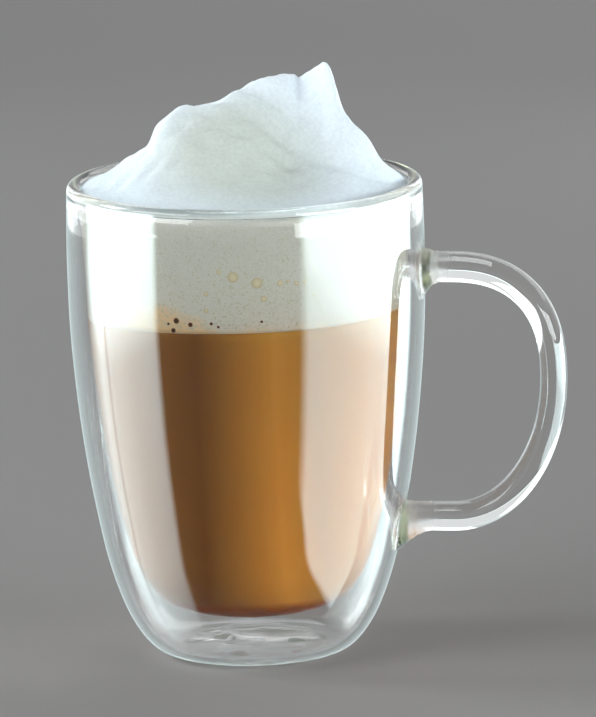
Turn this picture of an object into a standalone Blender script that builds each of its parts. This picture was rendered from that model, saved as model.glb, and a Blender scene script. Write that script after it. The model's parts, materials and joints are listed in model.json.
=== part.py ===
"""Latte in a double-walled glass mug with a looped glass handle.

Metres, +Z up. The origin is on the mug's axis, on the surface it stands on, and the handle points along +X.
The mug is one piece of glass: an outer wall and an inner cup, fused at the lip, with the handle fused on.
The hollow between its walls opens through a small vent in the foot, which a flush seal closes.
"""

import math

import bmesh
import bpy
import numpy as np

# The mug
MUG_HEIGHT = 0.1215
LIP_BEAD = 0.0018  # radius of the rounded lip
LIP_RADIUS = 0.0432  # from the axis to the middle of the lip
OUTER_WALL = 0.0019
INNER_WALL = 0.0016
VENT_RADIUS = 0.0040
HOLLOW_TOP = 0.1172  # the walls are fused from here up to the lip
HOLLOW_TIP = 0.0006  # how far below its top the hollow's width is taken

# Outlines as (radius, height): the outer wall from its flat foot up, and the inner cup's outer face
WALL_OUTLINE = (
    (0.0190, 0.0000), (0.0236, 0.0010), (0.0267, 0.0032), (0.0300, 0.0075), (0.0332, 0.0140), (0.0365, 0.0240),
    (0.0391, 0.0360), (0.0415, 0.0500), (0.0435, 0.0660), (0.0449, 0.0840), (0.0453, 0.1020), (0.0451, 0.1172),
)
CUP_OUTLINE = (
    (0.0000, 0.0106), (0.0080, 0.0108), (0.0160, 0.0119), (0.0222, 0.0141), (0.0265, 0.0181), (0.0297, 0.0240),
    (0.0327, 0.0340), (0.0356, 0.0480), (0.0382, 0.0640), (0.0402, 0.0840), (0.0410, 0.1020), (0.0424, 0.1172),
)

# The handle: a loop in the XZ plane of two quarter arcs, with a level run from each arc to the wall
LOOP_CENTRE_X = 0.0520
LOOP_CENTRE_Z = 0.0715
LOOP_REACH = 0.0258  # from the arcs' centre out to the middle of the grip
UPPER_RISE = 0.0277
UPPER_POWER = 2.4  # squarer than an ellipse
LOWER_DROP = 0.0366
ROD_HALF = (0.0039, 0.0034, 0.0037)  # in the loop's plane: at the upper run, the grip and the lower run
ROD_HALF_WIDTH = 0.0046  # across the loop's plane
# How the rod swells where it is fused on, as (more half size, distance over which it fades)
UPPER_JOINT = {"outside": (0.0015, 0.0050), "inside": (0.0056, 0.0046), "across": (0.0020, 0.0050)}
LOWER_JOINT = {"outside": (0.0066, 0.0085), "inside": (0.0006, 0.0030), "across": (0.0020, 0.0060)}

# The drink: milky coffee up to an uneven, slightly tilted line, and milk foam from there up
FIT_GAP = 0.0003
LINE_HEIGHT = 0.0893
LINE_TILT = 0.027  # rise for each metre towards the handle
LINE_WAVE = 0.0003
FOAM_EDGE = 0.1206  # where the foam meets the lip all round
FOAM_EDGE_RADIUS = 0.0410
HEAP_TURN = math.radians(8.0)  # the heap's crest runs at this angle to the handle's plane
# The heap's crest as (place along it, depth behind the axis, height over the foam's edge)
CREST = (
    (-0.0410, 0.0000, 0.0000), (-0.0367, -0.0005, 0.0025), (-0.0300, -0.0010, 0.0062), (-0.0243, -0.0015, 0.0104),
    (-0.0218, -0.0015, 0.0158), (-0.0185, -0.0010, 0.0187), (-0.0140, 0.0000, 0.0203), (-0.0080, 0.0015, 0.0206),
    (-0.0010, 0.0040, 0.0234), (0.0022, 0.0050, 0.0250), (0.0055, 0.0060, 0.0258), (0.0100, 0.0070, 0.0273),
    (0.0132, 0.0075, 0.0271), (0.0148, 0.0075, 0.0262), (0.0190, 0.0065, 0.0291), (0.0210, 0.0050, 0.0299),
    (0.0230, 0.0020, 0.0274), (0.0253, -0.0020, 0.0198), (0.0278, -0.0050, 0.0157), (0.0318, -0.0070, 0.0114),
    (0.0352, -0.0070, 0.0060), (0.0410, 0.0000, 0.0000),
)
SCOOP_AT = 0.0120  # along the crest, the middle of the scooped front
SCOOP_WIDTH = 0.0140
SIDE_FALL = 1.5  # how soon the heap's rounded sides fall
SCOOP_FALL = 1.9  # how hollow the scooped front is
CREST_ROUNDING = 0.08
CREST_FADE = 0.45  # share of the way to the lip over which the crest's own lumps fade into a plain dome
DOME_HEIGHT = 0.0210
DOME_POWER = 1.7

# How finely the round pieces are divided
MUG_SEGMENTS = 44
FOAM_SEGMENTS = 56
CURVE_STEPS = 16
OUTLINE_POINTS = 16
WALL_CROWDING = 1.35  # over 1 puts more of the wall's points at its foot
LINE_RINGS = 4
LINE_CLEAR = 0.0030  # the outline has no other point this close to the line
HEAP_RINGS = 17
LIP_POINTS = 5
ROD_SIDES = 14
ARC_RINGS = 11
RUN_SHARES = (0.0, 0.22, 0.36, 0.50, 0.66, 0.82, 1.0)  # where a level run has its rings
SHARP_ANGLE = math.radians(40.0)

# Colours are linear, from the photo: clear glass, milky coffee, steamed milk foam
GLASS_COLOUR = (0.90, 0.95, 0.94, 1.0)
COFFEE_COLOUR = (0.36, 0.17, 0.055, 1.0)
FOAM_COLOUR = (0.84, 0.84, 0.80, 1.0)


def clear_scene():
    for obj in list(bpy.data.objects):
        bpy.data.objects.remove(obj)


def material(name, colour, roughness, transmission=0.0):
    made = bpy.data.materials.new(name)
    made.use_nodes = True
    made.diffuse_color = colour
    shader = made.node_tree.nodes["Principled BSDF"]
    shader.inputs["Base Color"].default_value = colour
    shader.inputs["Roughness"].default_value = roughness
    shader.inputs["Metallic"].default_value = 0.0
    shader.inputs["Transmission Weight"].default_value = transmission
    return made


def smooth_line(points, count, crowding=1.0):
    """count points on the Catmull-Rom curve through the given points: evenly spaced, or crowded at its start."""
    points = np.asarray(points, float)
    ends = np.vstack([2 * points[0] - points[1], points, 2 * points[-1] - points[-2]])
    t = np.linspace(0.0, 1.0, CURVE_STEPS, endpoint=False)[:, None]
    spans = [
        0.5 * (2 * b + (c - a) * t + (2 * a - 5 * b + 4 * c - d) * t**2 + (3 * b - a - 3 * c + d) * t**3)
        for a, b, c, d in zip(ends, ends[1:], ends[2:], ends[3:])
    ]
    fine = np.vstack(spans + [points[-1:]])
    along = np.concatenate([[0.0], np.cumsum(np.linalg.norm(np.diff(fine, axis=0), axis=1))])
    places = along[-1] * np.linspace(0.0, 1.0, count) ** crowding
    return np.stack([np.interp(places, along, column) for column in fine.T], axis=1)


def inset(line, distance):
    """The outline moved by the distance to its left, which is up at a floor and inwards at a wall."""
    step = np.gradient(line, axis=0)
    step /= np.linalg.norm(step, axis=1, keepdims=True)
    moved = line + distance * np.stack([-step[:, 1], step[:, 0]], axis=1)
    moved[:, 0] = np.maximum(moved[:, 0], 0.0)
    return moved


def turned(name, outline, segments):
    """A closed solid: the outline of (radius, height) points spun about Z. It ends on the axis or closes on itself."""
    shape = bmesh.new()
    corners = [shape.verts.new((radius, 0.0, height)) for radius, height in outline]
    edges = [shape.edges.new(pair) for pair in zip(corners, corners[1:])]
    bmesh.ops.spin(
        shape, geom=corners + edges, cent=(0, 0, 0), axis=(0, 0, 1), angle=math.tau, steps=segments,
    )
    bmesh.ops.remove_doubles(shape, verts=shape.verts, dist=1e-6)
    bmesh.ops.recalc_face_normals(shape, faces=shape.faces)
    return finish_mesh(name, shape)


def finish_mesh(name, shape):
    mesh = bpy.data.meshes.new(name)
    shape.to_mesh(mesh)
    shape.free()
    mesh.shade_smooth()
    mesh.set_sharp_from_angle(angle=SHARP_ANGLE)
    obj = bpy.data.objects.new(name, mesh)
    bpy.context.scene.collection.objects.link(obj)
    return obj


def radius_at(line, height):
    return np.interp(height, line[:, 1], line[:, 0])


def lip():
    """The rounded lip from its inner side over the top to its outer side, as (radius, height)."""
    turn = np.linspace(math.pi, 0.0, LIP_POINTS)
    middle = MUG_HEIGHT - LIP_BEAD
    return np.stack([LIP_RADIUS + LIP_BEAD * np.cos(turn), middle + LIP_BEAD * np.sin(turn)], axis=1)


def mug_body(wall, cup):
    """Both walls as one outline, from the cup's inner floor over the lip, round the foot and through the hollow."""
    cup_inside = inset(cup, INNER_WALL)
    hollow_outside = inset(wall, OUTER_WALL)
    hollow_floor = hollow_outside[0, 1]
    tip = HOLLOW_TOP - HOLLOW_TIP
    outline = np.vstack([
        cup_inside[:-1],
        lip(),
        wall[::-1],
        [(VENT_RADIUS, 0.0), (VENT_RADIUS, hollow_floor)],
        hollow_outside[:-1],
        [(radius_at(hollow_outside, tip), HOLLOW_TOP)],
        [(radius_at(cup, tip), HOLLOW_TOP)],
        cup[-2::-1],
    ])
    return turned("glass_mug", outline, MUG_SEGMENTS)


def joint_swell(joint, side, distance):
    """How much thicker the rod is at a distance from the wall: full at the wall, fading as a square."""
    more, reach = joint[side]
    return more * np.clip(1.0 - distance / reach, 0.0, 1.0) ** 2


def rod_ring(centre, outward, half, joint=None, distance=0.0):
    """Points round the rod: an oval across the loop, with its outside and inside halves swollen near a joint."""
    turn = np.linspace(0.0, math.tau, ROD_SIDES, endpoint=False)
    outside = inside = half
    across = ROD_HALF_WIDTH
    if joint:
        outside = half + joint_swell(joint, "outside", distance)
        inside = half + joint_swell(joint, "inside", distance)
        across = ROD_HALF_WIDTH + joint_swell(joint, "across", distance)
    reach = np.where(np.cos(turn) > 0, outside, inside) * np.cos(turn)
    return np.stack([
        centre[0] + outward[0] * reach,
        across * np.sin(turn),
        centre[1] + outward[1] * reach,
    ], axis=1)


def run_rings(wall, height, upwards, half, joint):
    """Rings of a level run, from the middle of the wall out to the arc, each eased from the wall's curve to flat."""
    rings = []
    wall_x = radius_at(wall, height)
    for share in RUN_SHARES:
        distance = share * (LOOP_CENTRE_X - wall_x)
        ring = rod_ring((LOOP_CENTRE_X, height), (0.0, upwards), half, joint, distance)
        middle = radius_at(wall, ring[:, 2]) - 0.5 * OUTER_WALL
        on_wall = np.sqrt(middle**2 - ring[:, 1] ** 2)
        ring[:, 0] = (1.0 - share) * on_wall + share * LOOP_CENTRE_X
        rings.append(ring)
    return rings


def arc_ring(turn, rise, power, half):
    """A ring on a quarter arc of a superellipse, from turn 0 at the grip. A rise below 0 is the lower arc."""
    c, s = max(math.cos(turn), 0.0), max(math.sin(turn), 0.0)
    x = LOOP_REACH * c ** (2 / power)
    z = rise * s ** (2 / power)
    slope_x = (x / LOOP_REACH) ** (power - 1) / LOOP_REACH
    slope_z = (z / rise) ** (power - 1) / rise
    outward = np.array([slope_x, slope_z]) / math.hypot(slope_x, slope_z)
    return rod_ring((LOOP_CENTRE_X + x, LOOP_CENTRE_Z + z), outward, half)


def handle_rod(wall):
    """The handle as one skin of rings, from the middle of the wall round the loop to the wall again."""
    at_upper, at_grip, at_lower = ROD_HALF
    turns = np.linspace(math.pi / 2, 0.0, ARC_RINGS + 1)[1:]
    rings = run_rings(wall, LOOP_CENTRE_Z + UPPER_RISE, 1.0, at_upper, UPPER_JOINT)
    rings += [
        arc_ring(turn, UPPER_RISE, UPPER_POWER, at_grip + (at_upper - at_grip) * math.sin(turn) ** 2)
        for turn in turns
    ]
    rings += [
        arc_ring(turn, -LOWER_DROP, 2.0, at_grip + (at_lower - at_grip) * math.sin(turn) ** 2)
        for turn in turns[-2::-1]
    ]
    rings += run_rings(wall, LOOP_CENTRE_Z - LOWER_DROP, -1.0, at_lower, LOWER_JOINT)[::-1]
    return skinned("handle_rod", rings, wall)


def skinned(name, rings, wall):
    """A closed skin over the rings. Each end is a fan from a point in the middle of the wall."""
    shape = bmesh.new()
    loops = [[shape.verts.new(point) for point in ring] for ring in rings]
    for near, far in zip(loops, loops[1:]):
        for i in range(ROD_SIDES):
            j = (i + 1) % ROD_SIDES
            shape.faces.new((near[i], near[j], far[j], far[i]))
    for loop, ring in ((loops[0], rings[0]), (loops[-1], rings[-1])):
        height = ring[:, 2].mean()
        middle = shape.verts.new((radius_at(wall, height) - 0.5 * OUTER_WALL, 0.0, height))
        for i in range(ROD_SIDES):
            shape.faces.new((loop[i], loop[(i + 1) % ROD_SIDES], middle))
    bmesh.ops.recalc_face_normals(shape, faces=shape.faces)
    return finish_mesh(name, shape)


def fuse(body, rod):
    """Joins the handle to the mug. The rod itself stays as a hidden helper."""
    union = body.modifiers.new("fused_handle", "BOOLEAN")
    union.operation = "UNION"
    union.solver = "EXACT"
    union.object = rod
    rod.hide_render = True
    rod.display_type = "WIRE"


def line_height(x, y):
    """The height of the line between coffee and foam: a tilted plane with a slow wave round the glass."""
    around = np.arctan2(y, x)
    return LINE_HEIGHT + LINE_TILT * x + LINE_WAVE * np.sin(3.0 * around + 0.6) * np.hypot(x, y) / FOAM_EDGE_RADIUS


def heap_height(x, y):
    """The foam's height over its edge: the crest's height, falling to nothing at the lip in front and behind."""
    along = x * math.cos(HEAP_TURN) + y * math.sin(HEAP_TURN)
    depth = y * math.cos(HEAP_TURN) - x * math.sin(HEAP_TURN)
    crest = smooth_line(CREST, 400)
    crest_depth = np.interp(along, crest[:, 0], crest[:, 1])
    crest_height = np.interp(along, crest[:, 0], crest[:, 2])
    dome_height = DOME_HEIGHT * np.maximum(1.0 - (along / FOAM_EDGE_RADIUS) ** 2, 0.0) ** DOME_POWER
    half_chord = np.sqrt(np.maximum(FOAM_EDGE_RADIUS**2 - along**2, 1e-10))
    behind = depth > crest_depth
    room = np.where(behind, half_chord - crest_depth, half_chord + crest_depth)
    away = np.clip(np.abs(depth - crest_depth) / np.maximum(room, 1e-6), 0.0, 1.0)
    fade = np.clip(away / CREST_FADE, 0.0, 1.0)
    fade = fade * fade * (3.0 - 2.0 * fade)
    height = crest_height + (dome_height - crest_height) * fade
    rounded = (np.hypot(away, CREST_ROUNDING) - CREST_ROUNDING) / (math.hypot(1.0, CREST_ROUNDING) - CREST_ROUNDING)
    scoop = np.where(behind, 0.0, np.exp(-(((along - SCOOP_AT) / SCOOP_WIDTH) ** 2)))
    side_fall = (1.0 - away**2) ** SIDE_FALL
    scoop_fall = (1.0 - rounded) ** SCOOP_FALL
    return height * (side_fall + (scoop_fall - side_fall) * scoop)


def coffee(cup):
    """The milky coffee: the cup's inside less the gap, up to the line."""
    side = inset(cup, INNER_WALL + FIT_GAP)
    below = side[side[:, 1] < LINE_HEIGHT - LINE_CLEAR]
    top = level_rings(radius_at(side, LINE_HEIGHT), LINE_HEIGHT, LINE_RINGS)
    obj = turned("milky_coffee", np.vstack([below, top]), MUG_SEGMENTS)
    move_level(obj, LINE_HEIGHT, line_height)
    return obj


def level_rings(radius, height, rings):
    """Outline points at one height, evenly from the radius in to the axis."""
    return np.stack([radius * np.linspace(1.0, 0.0, rings + 1), np.full(rings + 1, height)], axis=1)


def move_level(obj, level, height_of):
    """Sets the height of every vertex at the level from its place."""
    for vertex in obj.data.vertices:
        if abs(vertex.co.z - level) < 1e-6:
            vertex.co.z = height_of(vertex.co.x, vertex.co.y)


def milk_foam(cup):
    """The foam: a round plug between the line and the lip, with the heap above its edge."""
    side = inset(cup, INNER_WALL + FIT_GAP)
    floor = LINE_HEIGHT + FIT_GAP
    bottom = level_rings(radius_at(side, floor), floor, LINE_RINGS)[::-1]
    wall = side[(side[:, 1] > floor + LINE_CLEAR) & (side[:, 1] < HOLLOW_TOP)]
    top = level_rings(FOAM_EDGE_RADIUS, FOAM_EDGE, HEAP_RINGS)
    obj = turned("milk_foam", np.vstack([bottom, wall, top]), FOAM_SEGMENTS)
    move_level(obj, floor, lambda x, y: line_height(x, y) + FIT_GAP)
    move_level(obj, FOAM_EDGE, lambda x, y: FOAM_EDGE + heap_height(x, y))
    return obj


def base_seal():
    """The flush seal in the vent, its underside in the plane of the foot."""
    radius = VENT_RADIUS - FIT_GAP
    outline = [(0.0, 0.0), (radius, 0.0), (radius, OUTER_WALL), (0.0, OUTER_WALL)]
    return turned("base_seal", outline, MUG_SEGMENTS // 2)


def build():
    clear_scene()
    wall = smooth_line(WALL_OUTLINE, OUTLINE_POINTS, WALL_CROWDING)
    cup = smooth_line(CUP_OUTLINE, OUTLINE_POINTS)
    glass = material("clear_glass", GLASS_COLOUR, 0.02, transmission=1.0)
    seal_glass = material("seal_glass", GLASS_COLOUR, 0.10, transmission=1.0)
    drink = material("milky_coffee", COFFEE_COLOUR, 0.15)
    foam = material("milk_foam", FOAM_COLOUR, 0.70)
    mug = mug_body(wall, cup)
    fuse(mug, handle_rod(wall))
    mug.data.materials.append(glass)
    base_seal().data.materials.append(seal_glass)
    coffee(cup).data.materials.append(drink)
    milk_foam(cup).data.materials.append(foam)


build()
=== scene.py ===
# %% [markdown]
# # A latte in a double-walled glass mug
# This notebook dresses a plain solid model of a latte. The solids come first, as a fixed frame: a mug of clear
# glass, the seal in its foot, the milky coffee and the milk foam. Each step then replaces one of them with a finer
# surface worked out with numpy, and gives it a procedural finish.

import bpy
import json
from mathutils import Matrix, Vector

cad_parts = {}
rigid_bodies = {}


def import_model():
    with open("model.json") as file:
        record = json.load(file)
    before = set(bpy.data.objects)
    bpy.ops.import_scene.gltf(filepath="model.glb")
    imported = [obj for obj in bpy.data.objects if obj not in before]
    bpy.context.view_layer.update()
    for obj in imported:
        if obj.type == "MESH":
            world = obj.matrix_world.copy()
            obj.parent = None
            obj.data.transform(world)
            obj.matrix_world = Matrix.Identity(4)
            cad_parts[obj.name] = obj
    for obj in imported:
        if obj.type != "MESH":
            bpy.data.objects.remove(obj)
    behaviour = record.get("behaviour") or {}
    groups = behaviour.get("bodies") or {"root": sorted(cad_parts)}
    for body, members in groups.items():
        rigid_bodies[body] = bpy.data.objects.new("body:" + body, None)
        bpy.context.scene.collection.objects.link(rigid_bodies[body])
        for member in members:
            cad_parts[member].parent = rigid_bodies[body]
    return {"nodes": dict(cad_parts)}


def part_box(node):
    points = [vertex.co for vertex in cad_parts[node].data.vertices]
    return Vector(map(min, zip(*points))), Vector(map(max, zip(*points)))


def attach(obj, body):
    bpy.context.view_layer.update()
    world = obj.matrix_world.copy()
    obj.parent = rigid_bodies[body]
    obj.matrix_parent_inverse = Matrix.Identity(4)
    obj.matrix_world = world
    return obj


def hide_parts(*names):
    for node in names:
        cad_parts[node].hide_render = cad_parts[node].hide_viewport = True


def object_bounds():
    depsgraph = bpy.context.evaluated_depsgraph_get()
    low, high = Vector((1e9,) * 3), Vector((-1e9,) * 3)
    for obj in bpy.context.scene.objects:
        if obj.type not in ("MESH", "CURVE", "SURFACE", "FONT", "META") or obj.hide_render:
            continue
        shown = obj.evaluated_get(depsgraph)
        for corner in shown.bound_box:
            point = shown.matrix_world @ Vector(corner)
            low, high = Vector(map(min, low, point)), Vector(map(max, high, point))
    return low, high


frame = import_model()
cad_low, cad_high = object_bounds()
print("frame nodes:", sorted(frame["nodes"]))

# %% Modules
import json
import math

import bmesh
import bpy
import numpy as np
from mathutils import Matrix, Vector

MM = 0.001


def new_object(name, data):
    """Makes an object in the scene that holds the data."""
    made = bpy.data.objects.new(name, data)
    bpy.context.scene.collection.objects.link(made)
    return made


# %% [markdown]
# ## The camera
# A long lens far away keeps the sides of the mug nearly parallel, as in a catalogue picture. The camera looks at
# the mug's middle, rolls a little, and is then turned so that the middle falls where it lies in the photograph.
# That keeps the lens shift at zero, so other views stay centred.

# %% Camera
FRAME_WIDTH, FRAME_HEIGHT = 596, 717
PIXELS_PER_METRE = 3940.0  # at the mug's axis
CAMERA_DISTANCE = 2.5
CAMERA_TURN = math.radians(8.0)  # from the front towards the handle
CAMERA_RISE = math.radians(11.4)
CAMERA_ROLL = math.radians(-1.35)
MUG_MIDDLE = Vector((0.0, 0.0, 0.061))
MIDDLE_PIXEL = (249.6, 414.1)
SENSOR_WIDTH = 36.0


def add_camera():
    """Stands at the distance, turn and rise from the mug's middle, rolls about its own axis, and then pans and
    tilts by the angles whose tangents are the middle's offset from the picture's centre over the focal length."""
    focal = PIXELS_PER_METRE * CAMERA_DISTANCE
    data = bpy.data.cameras.new("camera")
    data.sensor_width = SENSOR_WIDTH
    data.lens = focal * SENSOR_WIDTH / FRAME_HEIGHT
    data.clip_start, data.clip_end = 0.05, 20.0
    camera = new_object("camera", data)
    back = Vector((
        math.sin(CAMERA_TURN) * math.cos(CAMERA_RISE),
        -math.cos(CAMERA_TURN) * math.cos(CAMERA_RISE),
        math.sin(CAMERA_RISE),
    ))
    pan = math.atan((MIDDLE_PIXEL[0] - FRAME_WIDTH / 2) / focal)
    tilt = math.atan((MIDDLE_PIXEL[1] - FRAME_HEIGHT / 2) / focal)
    turned = (-back).to_track_quat("-Z", "Y").to_matrix()
    turned = turned @ Matrix.Rotation(CAMERA_ROLL, 3, "Z")
    turned = turned @ Matrix.Rotation(pan, 3, "Y") @ Matrix.Rotation(tilt, 3, "X")
    camera.rotation_mode = "QUATERNION"
    camera.rotation_quaternion = turned.to_quaternion()
    camera.location = MUG_MIDDLE + back * CAMERA_DISTANCE
    bpy.context.scene.camera = camera
    print(f"camera: {data.lens:.0f} mm lens, {CAMERA_DISTANCE} m away")


add_camera()

# %% [markdown]
# ## Helpers for surfaces
# Every new piece here is a stack of rings: a grid of points whose rows are rings and whose columns go round. A
# round piece gets its rings by turning an outline about the vertical axis, and a rod gets them along its middle
# line. One helper joins the rings and closes the ends with fans, another puts the arrays into a mesh.


# %% Outlines
SPAN_STEPS = 32


def smooth_line(points, count):
    """Points spaced evenly along the Catmull-Rom curve through the given ones: each span is a cubic whose end
    slopes are half the distance between the neighbours."""
    points = np.asarray(points, float)
    ends = np.vstack([2 * points[0] - points[1], points, 2 * points[-1] - points[-2]])
    t = np.linspace(0.0, 1.0, SPAN_STEPS, endpoint=False)[:, None]
    spans = [
        0.5 * (2 * b + (c - a) * t + (2 * a - 5 * b + 4 * c - d) * t**2 + (3 * b - a - 3 * c + d) * t**3)
        for a, b, c, d in zip(ends, ends[1:], ends[2:], ends[3:])
    ]
    fine = np.vstack(spans + [points[-1:]])
    along = np.concatenate([[0.0], np.cumsum(np.linalg.norm(np.diff(fine, axis=0), axis=1))])
    places = along[-1] * np.linspace(0.0, 1.0, count)
    return np.stack([np.interp(places, along, column) for column in fine.T], axis=1)


def inset(line, distance):
    """The outline moved to its left, along the direction of each step turned by a quarter."""
    step = np.gradient(line, axis=0)
    step /= np.linalg.norm(step, axis=1, keepdims=True)
    moved = line + distance * np.stack([-step[:, 1], step[:, 0]], axis=1)
    moved[:, 0] = np.maximum(moved[:, 0], 0.0)
    return moved


def radius_at(line, height):
    return np.interp(height, line[:, 1], line[:, 0])


# %% Rings into meshes
def turn_rings(outline, segments):
    """One ring for each (radius, height) point: radius times cosine and sine of the angle, at the height."""
    angle = np.linspace(0.0, math.tau, segments, endpoint=False)
    radius, height = outline[:, :1], outline[:, 1:2]
    return np.stack([radius * np.cos(angle), radius * np.sin(angle), height + 0 * angle], axis=2)


def skin(rings, first_tip, last_tip):
    """Points and triangles over a stack of rings, with a fan from a tip at each end. The triangles face outwards if
    the summed volume of their tetrahedra with the origin is positive, and are turned round if it isn't."""
    rows, columns = rings.shape[:2]
    points = np.vstack([rings.reshape(-1, 3), first_tip, last_tip])
    place = np.arange(rows * columns).reshape(rows, columns)
    after = np.roll(place, -1, axis=1)
    a, b, c, d = place[:-1].ravel(), after[:-1].ravel(), after[1:].ravel(), place[1:].ravel()
    first, last = np.full(columns, rows * columns), np.full(columns, rows * columns + 1)
    faces = np.concatenate([
        np.stack([a, b, c], axis=1),
        np.stack([a, c, d], axis=1),
        np.stack([first, after[0], place[0]], axis=1),
        np.stack([last, place[-1], after[-1]], axis=1),
    ])
    if np.linalg.det(points[faces]).sum() < 0:
        faces = faces[:, ::-1]
    return points, faces


def make_mesh(name, points, faces):
    """Fills a mesh from arrays of points and triangles, all shaded smooth."""
    mesh = bpy.data.meshes.new(name)
    mesh.vertices.add(len(points))
    mesh.vertices.foreach_set("co", points.astype(np.float32).ravel())
    mesh.loops.add(faces.size)
    mesh.loops.foreach_set("vertex_index", faces.astype(np.int32).ravel())
    mesh.polygons.add(len(faces))
    mesh.polygons.foreach_set("loop_start", np.arange(0, faces.size, 3, dtype=np.int32))
    mesh.update(calc_edges=True)
    mesh.shade_smooth()
    return mesh


def add_piece(name, mesh, material, slot, *replaced):
    """Shows the mesh as a piece that rides on the one body, and stands for the named solids."""
    mesh.materials.clear()
    mesh.materials.append(material)
    piece = new_object(name, mesh)
    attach(piece, "root")
    if replaced:
        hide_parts(*replaced)
    print(f"{name}: {len(mesh.vertices)} points, {len(mesh.polygons)} faces")


# %% Lumps
def lumps(points, size, seed, waves=24):
    """A smooth noise of about the given size: the mean of many sines whose directions and phases are random, scaled
    to a spread of about one."""
    random = np.random.default_rng(seed)
    directions = random.normal(size=(waves, points.shape[-1]))
    directions /= np.linalg.norm(directions, axis=1, keepdims=True)
    lengths = size * random.uniform(0.7, 1.5, waves)
    phases = random.uniform(0.0, math.tau, waves)
    summed = np.zeros(points.shape[:-1])
    for direction, length, phase in zip(directions, lengths, phases):
        summed += np.sin(points @ direction * (math.tau / length) + phase)
    return summed * math.sqrt(2.0 / waves)


# %% [markdown]
# ## Helpers for materials
# A material is a small graph of nodes. All patterns here read Object coordinates, in metres, so a grain of half a
# millimetre is a noise with a scale of about 2000.


# %% Material nodes
WHITE, BLACK = (1.0, 1.0, 1.0), (0.0, 0.0, 0.0)


def add_node(tree, kind, **settings):
    """Adds a node, sets its own settings, and gives constants to its inputs by name, with _ for a space."""
    made = tree.nodes.new(kind)
    for key, value in settings.items():
        if hasattr(made, key):
            setattr(made, key, value)
        else:
            made.inputs[key.replace("_", " ")].default_value = value
    return made


def new_material(name, **shader_values):
    made = bpy.data.materials.new(name)
    made.use_nodes = True
    shader = made.node_tree.nodes["Principled BSDF"]
    for key, value in shader_values.items():
        shader.inputs[key.replace("_", " ")].default_value = value
    return made, made.node_tree, shader


def object_place(tree, scale=(1.0, 1.0, 1.0)):
    """Object coordinates, stretched by the scale in each direction."""
    place = add_node(tree, "ShaderNodeTexCoord")
    mapping = add_node(tree, "ShaderNodeMapping", Scale=scale)
    tree.links.new(place.outputs["Object"], mapping.inputs["Vector"])
    return mapping.outputs["Vector"]


def noise(tree, place, scale, detail=3.0, roughness=0.5):
    made = add_node(tree, "ShaderNodeTexNoise", Scale=scale, Detail=detail, Roughness=roughness)
    tree.links.new(place, made.inputs["Vector"])
    return made.outputs["Fac"]


def ramp(tree, factor, *stops):
    """Colours along a factor. Each stop is (place, colour)."""
    made = add_node(tree, "ShaderNodeValToRGB")
    elements = made.color_ramp.elements
    while len(elements) < len(stops):
        elements.new(0.5)
    for element, (where, colour) in zip(elements, stops):
        element.position = where
        element.color = (*colour, 1.0)
    tree.links.new(factor, made.inputs["Fac"])
    return made.outputs["Color"]


def mix(tree, factor, first, second, blend="MIX"):
    """Mixes two colours. A factor or colour may be a constant or another node's output."""
    made = add_node(tree, "ShaderNodeMix", data_type="RGBA", blend_type=blend)
    for socket, value in (
        (made.inputs["Factor"], factor), (made.inputs[6], first), (made.inputs[7], second),
    ):
        if isinstance(value, bpy.types.NodeSocket):
            tree.links.new(value, socket)
        else:
            socket.default_value = value if isinstance(value, float) else (*value, 1.0)
    return made.outputs[2]


def share_along(tree, axis, low, high):
    """0 at the low place on the axis and 1 at the high one."""
    place = add_node(tree, "ShaderNodeTexCoord")
    parts = add_node(tree, "ShaderNodeSeparateXYZ")
    tree.links.new(place.outputs["Object"], parts.inputs["Vector"])
    return fade_node(tree, parts.outputs[axis], (low, high), (0.0, 1.0))


def distance_to(tree, place):
    """The distance from a place on the piece, in metres."""
    here = add_node(tree, "ShaderNodeTexCoord")
    measured = add_node(tree, "ShaderNodeVectorMath", operation="DISTANCE")
    tree.links.new(here.outputs["Object"], measured.inputs[0])
    measured.inputs[1].default_value = place
    return measured.outputs["Value"]


def fade_node(tree, value, start_end, first_last, **settings):
    """The first number up to the start, the last one from the end on, and a straight change between."""
    fade = add_node(tree, "ShaderNodeMapRange", **settings)
    for key, number in zip(("From Min", "From Max", "To Min", "To Max"), (*start_end, *first_last)):
        fade.inputs[key].default_value = number
    tree.links.new(value, fade.inputs["Value"])
    return fade.outputs["Result"]


def times(tree, first, second):
    """Multiplies two colours."""
    return mix(tree, 1.0, first, second, "MULTIPLY")


def math_node(tree, operation, first, second):
    made = add_node(tree, "ShaderNodeMath", operation=operation)
    for socket, value in zip(made.inputs, (first, second)):
        if isinstance(value, bpy.types.NodeSocket):
            tree.links.new(value, socket)
        else:
            socket.default_value = value
    return made.outputs["Value"]


def product(tree, first, second):
    return math_node(tree, "MULTIPLY", first, second)


def total(tree, first, second):
    return math_node(tree, "ADD", first, second)


def bump(tree, shader, height, strength, distance):
    made = add_node(tree, "ShaderNodeBump", Strength=strength, Distance=distance)
    tree.links.new(height, made.inputs["Height"])
    tree.links.new(made.outputs["Normal"], shader.inputs["Normal"])


# %% [markdown]
# ## The mug of glass
# The real mug is blown in two layers that are fused at the lip, with air sealed between them, and a solid glass
# rod is fused on as its handle. Light bends at every face, so the walls need their true thickness: the outer body
# is one turned surface from the foot over the lip down to the cup's floor, and the sealed hollow is a second
# turned surface inside it, facing inwards. The rod is joined to the body by a Boolean union before the hollow is
# added, so that no face is left inside the glass.

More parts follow.
